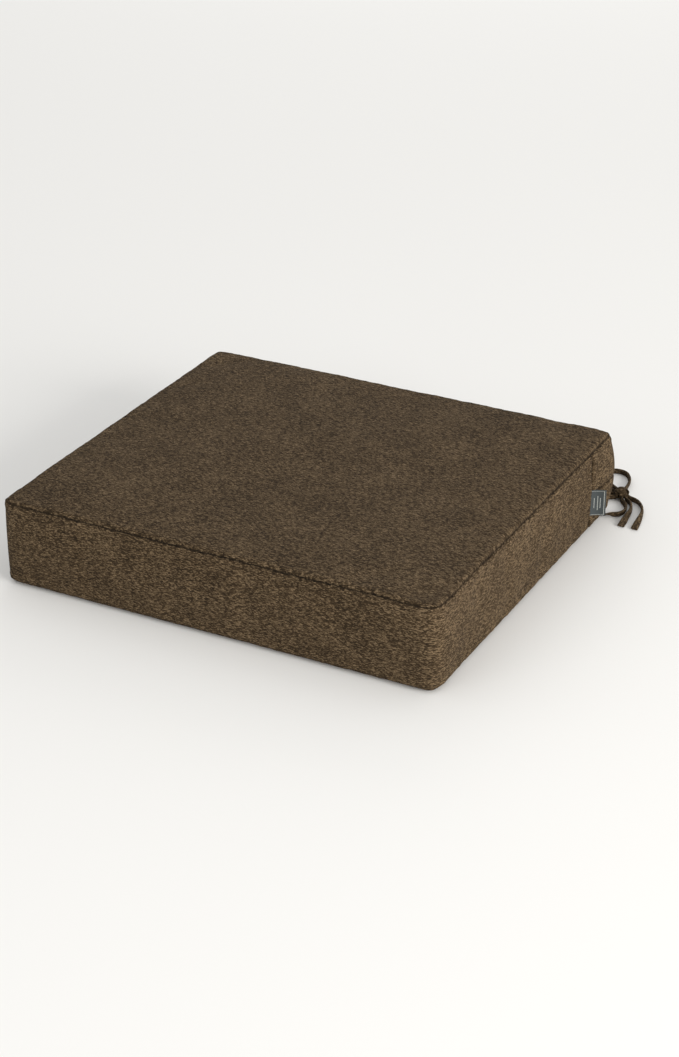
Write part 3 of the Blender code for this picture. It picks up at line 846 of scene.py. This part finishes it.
def copies(item, name, places):
    """Copies of one small shape, each with its own mesh, joined as one piece."""
    parts = []
    for place in places:
        part = linked(name, item.data.copy())
        part.data.transform(Matrix.Translation(place))
        parts.append(part)
    bpy.data.objects.remove(item, do_unlink=True)
    return joined(parts, name)


def stretched_ring(round_segments, tube_segments, tube, size):
    """A ring lying flat round the origin, stretched to its outer size; tube is the share its tube takes."""
    bpy.ops.object.select_all(action="DESELECT")
    bpy.ops.mesh.primitive_torus_add(major_segments=round_segments, minor_segments=tube_segments,
                                     major_radius=0.5 - tube / 2, minor_radius=tube / 2)
    edit_all(bpy.ops.transform.resize, value=(size[0], size[1], size[2] / tube), center_override=(0, 0, 0))
    return bpy.context.active_object


def thread_grain(size, turn=0.0):
    """The short hump that one stitch shows on the cloth, turned about Z."""
    bpy.ops.object.select_all(action="DESELECT")
    bpy.ops.mesh.primitive_uv_sphere_add(segments=8, ring_count=5, radius=0.5)
    edit_all(bpy.ops.transform.resize, value=size, center_override=(0, 0, 0))
    return placed(bpy.context.active_object, (0, 0, 0), (0, 0, turn))


def strip_faces(columns, rows, flipped=False):
    """The faces of a grid whose points are numbered row by row inside each column."""
    faces = []
    for i in range(columns - 1):
        for j in range(rows - 1):
            quad = (i * rows + j, (i + 1) * rows + j, (i + 1) * rows + j + 1, i * rows + j + 1)
            faces.append(quad[::-1] if flipped else quad)
    return faces


def zip_tape(side, sign, material):
    """One tape of the zip, laid flat, with the raised cords beside the edge that its coil is sewn to."""
    node = f"zip_tape_{side}"
    low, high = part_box(node)
    middle = (low.y + high.y) / 2
    width = high.z - low.z
    edge = low.z if sign > 0 else high.z
    across = np.concatenate([np.arange(0, 0.0064, 0.0004), np.linspace(0.0072, width, 6)])
    along = np.linspace(low.x, high.x, 121)
    points = []
    for x in along:
        for reach in across:
            cords = sum(bell(reach - at, 0.00045) for at in (0.0006, 0.0034, 0.0046))
            ripple = math.sin(x / 0.0061 + reach * 400) + math.sin(x / 0.0173)
            points.append((x, middle + 0.00008 * cords + 0.00002 * ripple, edge + sign * reach))
    faces = strip_faces(len(along), len(across), flipped=sign < 0)
    tape = mesh_object(f"zip_tape_{side}_weave", points, faces)
    solidified(tape, 0.00042, 0)
    finish_piece(tape, "pad", material, (node,), angle=50)


def coil_row(trim, side, sign, material):
    """One row of zip coil: a slanted ring of monofilament for each turn. The rows mesh by a tooth's head."""
    node = f"zip_coil_{side}"
    low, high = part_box(node)
    head = -0.0002
    reach = abs((high if sign > 0 else low).z - ZIP_HEIGHT)
    count = int((high.x - low.x - trim.coil_pitch) / trim.coil_pitch)
    start = (low.x + high.x - count * trim.coil_pitch) / 2 + (trim.coil_pitch / 2 if sign > 0 else 0)
    size = (reach - head, (high.y - low.y) * 0.98, trim.coil_pitch * 0.46)
    turn = stretched_ring(10, 4, 0.22, size)
    place = (start, (low.y + high.y) / 2, ZIP_HEIGHT + sign * (head + reach) / 2)
    placed(turn, place, (0, math.radians(90 + sign * 12), 0))
    turn.name = turn.data.name = f"zip_coil_{side}_turns"
    row = turn.modifiers.new("Row", "ARRAY")
    row.use_relative_offset = False
    row.use_constant_offset = True
    row.constant_offset_displace = (trim.coil_pitch, 0, 0)
    row.count = count
    apply_all(turn)
    finish_piece(turn, "pad", material, (node,))


def stitch_line(name, panel, height, pitch, material):
    """A row of lockstitches along X, on the rear face of a panel."""
    count = int(2 * SLOT_END / pitch)
    cloth = points_of(bpy.data.objects[panel].data)
    cloth = cloth[(cloth[:, 1] > 0.95 * HALF_DEPTH) & (np.abs(cloth[:, 2] - height) < 0.004)]
    places = []
    for x in np.linspace(-SLOT_END + pitch, SLOT_END - pitch, count):
        away = np.hypot(cloth[:, 0] - x, cloth[:, 2] - height)
        near = cloth[np.argsort(away)[:4]]
        places.append((x, near[:, 1].max() + 0.00005, height))
    finish_piece(copies(thread_grain((0.0026, 0.0007, 0.0007)), name, places), "pad", material)


def bar_tack(name, end, material):
    """The dense bar of thread that closes one end of the zip and holds its two tapes together."""
    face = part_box("zip_tape_upper")[1].y + 0.0002
    heights = ZIP_HEIGHT + np.arange(-10, 11) * 0.00046
    places = [(end * (SLOT_END - 0.0009), face, z) for z in heights]
    finish_piece(copies(thread_grain((0.0024, 0.0007, 0.00056)), name, places), "pad", material)


def eased_copy(name, node, body, width, material):
    """A CAD shape with its edges rounded, as a casting or a stamping has them."""
    item = linked(name, frame["nodes"][node].data.copy())
    select_only(item)
    bpy.ops.object.mode_set(mode="EDIT")
    bpy.ops.mesh.select_all(action="SELECT")
    bpy.ops.mesh.remove_doubles(threshold=0.00001)
    bpy.ops.mesh.dissolve_limited(angle_limit=math.radians(2))
    bpy.ops.object.mode_set(mode="OBJECT")
    ease = item.modifiers.new("Ease", "BEVEL")
    ease.width = width
    ease.segments = 3
    ease.limit_method = "ANGLE"
    ease.angle_limit = math.radians(30)
    ease.use_clamp_overlap = True
    apply_all(item)
    finish_piece(item, body, material, (node,), angle=35)


# ---------------------------------------------------------------------------------------------- straps


def smooth_line(points, spacing):
    """Evenly read points on a smooth curve through the given ones."""
    points = [Vector(p) for p in points]
    ends = [points[0] * 2 - points[1]] + points + [points[-1] * 2 - points[-2]]
    fine = []
    for i in range(1, len(ends) - 2):
        before, start, end, after = ends[i - 1 : i + 3]
        steps = max(2, round((end - start).length / spacing))
        for step in range(steps):
            t = step / steps
            bend = 2 * before - 5 * start + 4 * end - after
            twist = 3 * start - before - 3 * end + after
            fine.append(start + (end - before) * t / 2 + bend * t**2 / 2 + twist * t**3 / 2)
    return fine + [points[-1]]


def ribbon(name, line, tilts, widths, skins, sides=16):
    """A flat strap swept along a line. Tilt 0 lies flat and a right angle stands on edge."""
    count = len(line)
    points, uvs = [], []
    run = 0.0
    for i, place in enumerate(line):
        ahead = (line[min(i + 1, count - 1)] - line[max(i - 1, 0)]).normalized()
        level = ahead.cross(Vector((0, 0, 1)))
        level = level.normalized() if level.length > 0.05 else Vector((1, 0, 0))
        upright = level.cross(ahead).normalized()
        across = level * math.cos(tilts[i]) + upright * math.sin(tilts[i])
        through = across.cross(ahead).normalized()
        if i:
            run += (place - line[i - 1]).length
        for k in range(sides):
            turn = 2 * math.pi * k / sides
            c, s = math.cos(turn), math.sin(turn)
            flat = math.copysign(abs(c) ** 0.75, c) * widths[i] / 2
            rise = math.copysign(abs(s) ** 0.6, s) * skins[i] / 2
            points.append(place + across * flat + through * rise)
            uvs.append((run, flat + (0.02 if s < 0 else 0)))
    faces = []
    for start in range(0, (count - 1) * sides, sides):
        for k in range(sides):
            m = (k + 1) % sides
            faces.append((start + k, start + sides + k, start + sides + m, start + m))
    faces.append(tuple(range(sides)))
    faces.append(tuple((count - 1) * sides + k for k in reversed(range(sides))))
    item = mesh_object(name, points, faces, uvs)
    select_only(item)
    edit_all(bpy.ops.mesh.normals_make_consistent, inside=False)
    return item


def eased(share):
    """A share from 0 to 1, starting and ending gently."""
    share = min(max(share, 0.0), 1.0)
    return share * share * (3 - 2 * share)


def tie_line(side, which, heights):
    """The whole route of one tie: its lead, the knot, its loop, the knot again and its tail."""
    sign = 1 if side == "right" else -1
    lead, loop, tail = [TIE_ROUTES[f"{which}_{stretch}"] for stretch in ("lead", "loop", "tail")]
    first, second = heights
    route = [(x, y, 0.003) for x, y in lead]
    route.append((KNOT[0] - 0.001, KNOT[1] - 0.001, first))
    route += [(x, y, 0.0035) for x, y in loop]
    route.append((KNOT[0] + 0.001, KNOT[1] + 0.001, second))
    route += [(x, y, 0.003) for x, y in tail]
    return [(sign * (HALF_WIDTH + x), HALF_DEPTH + y, z) for x, y, z in route]


def make_strap(side, which, trim, material, heights):
    """A tie as one strap, flat at its seam and its cut end, and rolled on edge through the loop."""
    line = smooth_line(tie_line(side, which, heights), 0.0022)
    runs = np.concatenate([[0], np.cumsum([(b - a).length for a, b in zip(line, line[1:])])])
    total = runs[-1]
    sign = 1 if side == "right" else -1
    knot = Vector((sign * (HALF_WIDTH + KNOT[0]), HALF_DEPTH + KNOT[1]))
    tilts, widths, skins, path = [], [], [], []
    for run, place in zip(runs, line):
        to_knot = (place.xy - knot).length
        roll = min(eased((run - TIE_ROOT) / 0.014), eased((total - run) / 0.040))
        tilt = math.radians(8 + 74 * roll)
        width = trim.strap_width * (1 - 0.24 * roll) * (0.80 + 0.20 * eased(to_knot / 0.016))
        skin = trim.strap_skin * (1 + 0.75 * roll)
        lowest = abs(math.sin(tilt)) * width / 2 + abs(math.cos(tilt)) * skin / 2 + 0.0003
        height = lowest if to_knot > 0.012 else max(lowest, place.z)
        tilts.append(tilt)
        widths.append(width)
        skins.append(skin)
        path.append(Vector((place.x, place.y, height)))
    item = ribbon(f"{side}_tie_{which}_strap", path, tilts, widths, skins)
    nodes = [f"{side}_tie_{which}_{stretch}" for stretch in ("lead", "loop", "tail")]
    finish_piece(item, "pad", material, nodes, angle=60)
    return item, path, total


def make_knot(side, trim, material):
    """The knot: two turns of strap drawn tight round the crossing straps, over a rounded heart."""
    sign = 1 if side == "right" else -1
    centre = (sign * (HALF_WIDTH + KNOT[0]), HALF_DEPTH + KNOT[1], KNOT_HEIGHT)
    bpy.ops.object.select_all(action="DESELECT")
    bpy.ops.mesh.primitive_ico_sphere_add(subdivisions=4, radius=0.5)
    edit_all(bpy.ops.transform.resize, value=KNOT_HEART, center_override=(0, 0, 0))
    parts = [placed(bpy.context.active_object, centre)]
    skin = trim.strap_skin
    for facing, radius, height, width in ((52, 0.0080, 0.0054, 0.0080), (118, 0.0068, 0.0060, 0.0066)):
        size = (2 * radius + skin, 2 * height + skin, width)
        wrap = stretched_ring(36, 12, skin / size[0], size)
        outward = math.radians(facing if sign > 0 else 180 - facing)
        parts.append(placed(wrap, centre, (math.pi / 2, 0, outward)))
    knot = joined(parts, f"{side}_tie_knot_wraps")
    edit_all(bpy.ops.uv.cube_project, cube_size=CLOTH_METRE)
    knot.data.uv_layers[0].name = "cloth"
    finish_piece(knot, "pad", material, (f"{side}_tie_knot",))
    return knot


# ---------------------------------------------------------------------------------------------- label


def label_line(low, high, steps=18):
    """The label's middle line in plan, leaning to the rear with a slight bow, and the way across it."""
    along = Vector((math.cos(LABEL_LEAN), math.sin(LABEL_LEAN), 0))
    across = Vector((-along.y, along.x, 0))
    root = Vector((low.x, (low.y + high.y - along.y * (high.x - low.x)) / 2, 0))
    line = []
    for i in range(steps + 1):
        share = i / steps
        bow = across * (0.0011 * math.sin(math.pi * share) - 0.0002 * share)
        line.append(root + along * LABEL_REACH * share + bow)
    return line, along, across


def label_stitches(line, front, across, low, high):
    """Where the threads of the label's mark lie: three bars of satin stitch inside a thin frame of light
    thread, which is painted highlight on the label's edges.
    """
    tall = high.z - low.z
    places = []
    for share, base, top in ((0.33, 0.30, 0.70), (0.52, 0.22, 0.78), (0.71, 0.30, 0.70)):
        at = line[int(share * (len(line) - 1))] + front
        threads = int(tall * (top - base) / SATIN_PITCH)
        places += [(at.x, at.y, low.z + tall * (base + (top - base) * k / threads)) for k in range(threads)]
    # The light thread along the top and bottom edges and round the far end is painted highlight, for the
    # light that the label's edges catch.
    edges = (low.z + 0.0011, high.z - 0.0011)
    for share in np.arange(0.10, 0.92, 0.03):
        at = line[0].lerp(line[-1], share) + across * 0.0010 * math.sin(math.pi * share) + front
        places += [(at.x, at.y, z) for z in edges]
    at = line[0].lerp(line[-1], 0.91) + across * 0.0003 + front
    return places + [(at.x, at.y, z) for z in np.arange(*edges, SATIN_PITCH)]


def make_label(trim):
    """The flag label: one strip of damask folded in two, with the threads of its mark on the front."""
    low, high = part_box("side_label")
    line, along, across = label_line(low, high)
    side = across * LABEL_HALF
    profile = [p - side for p in line] + [line[-1] + along * LABEL_HALF] + [p + side for p in reversed(line)]
    rows = 12
    heights = [low.z + (high.z - low.z) * r / rows for r in range(rows + 1)]
    points = [(p.x, p.y, z) for z in heights for p in profile]
    label = mesh_object("side_label_ribbon", points, strip_faces(rows + 1, len(profile), flipped=True))
    solidified(label, 0.00032, 0)
    ground = damask_ribbon("woven_damask_label", trim.label_ground)
    finish_piece(label, "pad", ground, ("side_label",), angle=50)
    places = label_stitches(line, -across * (LABEL_HALF + 0.00022), across, low, high)
    grain = thread_grain((0.0010, 0.00022, SATIN_PITCH), LABEL_LEAN)
    thread = damask_ribbon("woven_damask_thread", trim.label_thread)
    mark = finish_piece(copies(grain, "side_label_mark", places), "pad", thread)


# ---------------------------------------------------------------------------------------------- operators


class SEATPAD_OT_stage(bpy.types.Operator):
    """Adds the camera, the floor and the soft studio lights"""

    bl_idname = "seatpad.stage"
    bl_label = "Stage"

    def execute(self, context):
        stage = context.scene.seatpad_stage
        scene = context.scene
        turn, rise = stage.azimuth, stage.elevation
        right = Vector((math.cos(turn), math.sin(turn), 0))
        back = Vector((right.y * math.cos(rise), -right.x * math.cos(rise), math.sin(rise)))
        lens = bpy.data.cameras.new("camera")
        lens.lens = stage.lens
        lens.sensor_width = 36.0
        place = back * stage.distance + right * stage.across + back.cross(right) * stage.upward
        scene.camera = aimed("camera", lens, place, -back)
        bpy.ops.object.select_all(action="DESELECT")
        bpy.ops.mesh.primitive_plane_add(size=40, location=(0, 0, 0))
        floor = bpy.context.active_object
        floor.name = "studio_floor"
        floor.data.materials.append(painted_floor(stage))
        for name, place, size, power, tint in (
            ("key_light", (4.60, -1.32, 1.25), 2.8, 285, (1.0, 0.985, 0.965)),
            ("front_light", (-1.4, -4.3, 1.7), 2.8, 32, (0.97, 0.985, 1.0)),
            ("rear_light", (-1.6, 4.4, 1.7), 2.8, 40, (1.0, 1.0, 1.0)),
        ):
            light = bpy.data.lights.new(name, "AREA")
            light.energy = power
            light.size = size
            light.color = tint
            aimed(name, light, place, -Vector(place))
        world = bpy.data.worlds.new("studio")
        scene.world = world
        world.use_nodes = True
        sky = world.node_tree.nodes["Background"]
        sky.inputs["Color"].default_value = (1.0, 1.0, 1.0, 1.0)
        sky.inputs["Strength"].default_value = 0.70
        scene.view_settings.view_transform = "Standard"
        return {"FINISHED"}


class SEATPAD_OT_cover(bpy.types.Operator):
    """Sews the cover, swells it and cuts it into its panels"""

    bl_idname = "seatpad.cover"
    bl_label = "Cover"

    def execute(self, context):
        sew_cover(context.scene.seatpad_cover)
        return {"FINISHED"}


class SEATPAD_OT_filling(bpy.types.Operator):
    """Makes the foam block and the two layers of wadding"""

    bl_idname = "seatpad.filling"
    bl_label = "Filling"

    def execute(self, context):
        wadding = fibre_wadding()
        soft_block("foam_block", "foam_core", open_cell_foam(), 0.006, 0.0012, 0.0006)
        soft_block("top_wadding_layer", "top_wadding", wadding, 0.0035, 0.0022, 0.0010)
        soft_block("bottom_wadding_layer", "bottom_wadding", wadding, 0.0035, 0.0016, 0.0008)
        return {"FINISHED"}


class SEATPAD_OT_zip(bpy.types.Operator):
    """Makes the zip: tapes, coil, stops, slider, pull tab and its rows of stitches"""

    bl_idname = "seatpad.zip"
    bl_label = "Zip"

    def execute(self, context):
        trim = context.scene.seatpad_trim
        cover = context.scene.seatpad_cover
        tape, coil, metal = woven_tape(trim), nylon_coil(trim), enamelled_zinc(trim)
        thread = spun_thread(cover)
        for side, sign in (("lower", -1), ("upper", 1)):
            zip_tape(side, sign, tape)
            coil_row(trim, side, sign, coil)
            height = ZIP_HEIGHT + sign * (SLOT_HALF + 0.0050)
            stitch_line(f"zip_stitches_{side}", f"rear_boxing_{side}_cloth", height, 0.0034, thread)
        bar_tack("zip_bar_tack_closed_end", 1, thread)
        bar_tack("zip_bar_tack_open_end", -1, thread)
        for stop in ("zip_bottom_stop", "zip_top_stop_upper", "zip_top_stop_lower"):
            eased_copy(f"{stop}_clip", stop, "pad", 0.0003, metal)
        eased_copy("zip_slider_casting", "zip_slider", "slider", 0.0002, metal)
        eased_copy("zip_pull_tab_stamping", "zip_pull_tab", "pull_tab", 0.00018, metal)
        return {"FINISHED"}


class SEATPAD_OT_label(bpy.types.Operator):
    """Makes the folded side label with its edge of light thread, a painted highlight, and its plain mark"""

    bl_idname = "seatpad.label"
    bl_label = "Side label"

    def execute(self, context):
        make_label(context.scene.seatpad_trim)
        return {"FINISHED"}


class SEATPAD_OT_ties(bpy.types.Operator):
    """Makes the two ties of each rear corner, with the knot of their bow"""

    bl_idname = "seatpad.ties"
    bl_label = "Ties"

    def execute(self, context):
        trim = context.scene.seatpad_trim
        # The ties take the cover's cloth at 0.8 of its tone: painted shade, for the shade that the ties lie
        # in.
        cloth = heather_cloth("heathered_olefin_tie_painted_shade", context.scene.seatpad_cover, seed=11.9, depth=0.8)
        for side in ("right", "left"):
            knot = make_knot(side, trim, cloth)
            for which, heights, wraps in (
                ("rear", (0.0040, 0.0085), (knot,)), ("side", (0.0060, 0.0100), ()),
            ):
                strap, path, total = make_strap(side, which, trim, cloth, heights)
        return {"FINISHED"}


class SEATPAD_PT_panel(bpy.types.Panel):
    """Lists the seat pad's settings and the steps that build it"""

    bl_idname = "SEATPAD_PT_panel"
    bl_label = "Seat pad"
    bl_space_type = "VIEW_3D"
    bl_region_type = "UI"
    bl_category = "Seat pad"

    def draw(self, context):
        for group in ("seatpad_stage", "seatpad_cover", "seatpad_trim"):
            settings = getattr(context.scene, group)
            column = self.layout.box().column()
            for name in settings.__annotations__:
                column.prop(settings, name)
        for step in STEPS:
            self.layout.operator(f"seatpad.{step}")


STEPS = ("stage", "ties", "cover", "filling", "zip", "label")
CLASSES = (
    SeatPadCover, SeatPadTrim, SeatPadStage, SEATPAD_OT_stage, SEATPAD_OT_ties, SEATPAD_OT_cover,
    SEATPAD_OT_filling, SEATPAD_OT_zip, SEATPAD_OT_label, SEATPAD_PT_panel,
)


def register():
    """Adds the settings, the steps and the panel to Blender."""
    for kind in CLASSES:
        bpy.utils.register_class(kind)
    bpy.types.Scene.seatpad_cover = PointerProperty(type=SeatPadCover)
    bpy.types.Scene.seatpad_trim = PointerProperty(type=SeatPadTrim)
    bpy.types.Scene.seatpad_stage = PointerProperty(type=SeatPadStage)


def unregister():
    """Takes them out again."""
    for name in ("seatpad_cover", "seatpad_trim", "seatpad_stage"):
        delattr(bpy.types.Scene, name)
    for kind in reversed(CLASSES):
        bpy.utils.unregister_class(kind)


def main():
    """Registers the add-on and builds every piece."""
    register()
    for step in STEPS:
        getattr(bpy.ops.seatpad, step)()


if __name__ == "__main__":
    main()
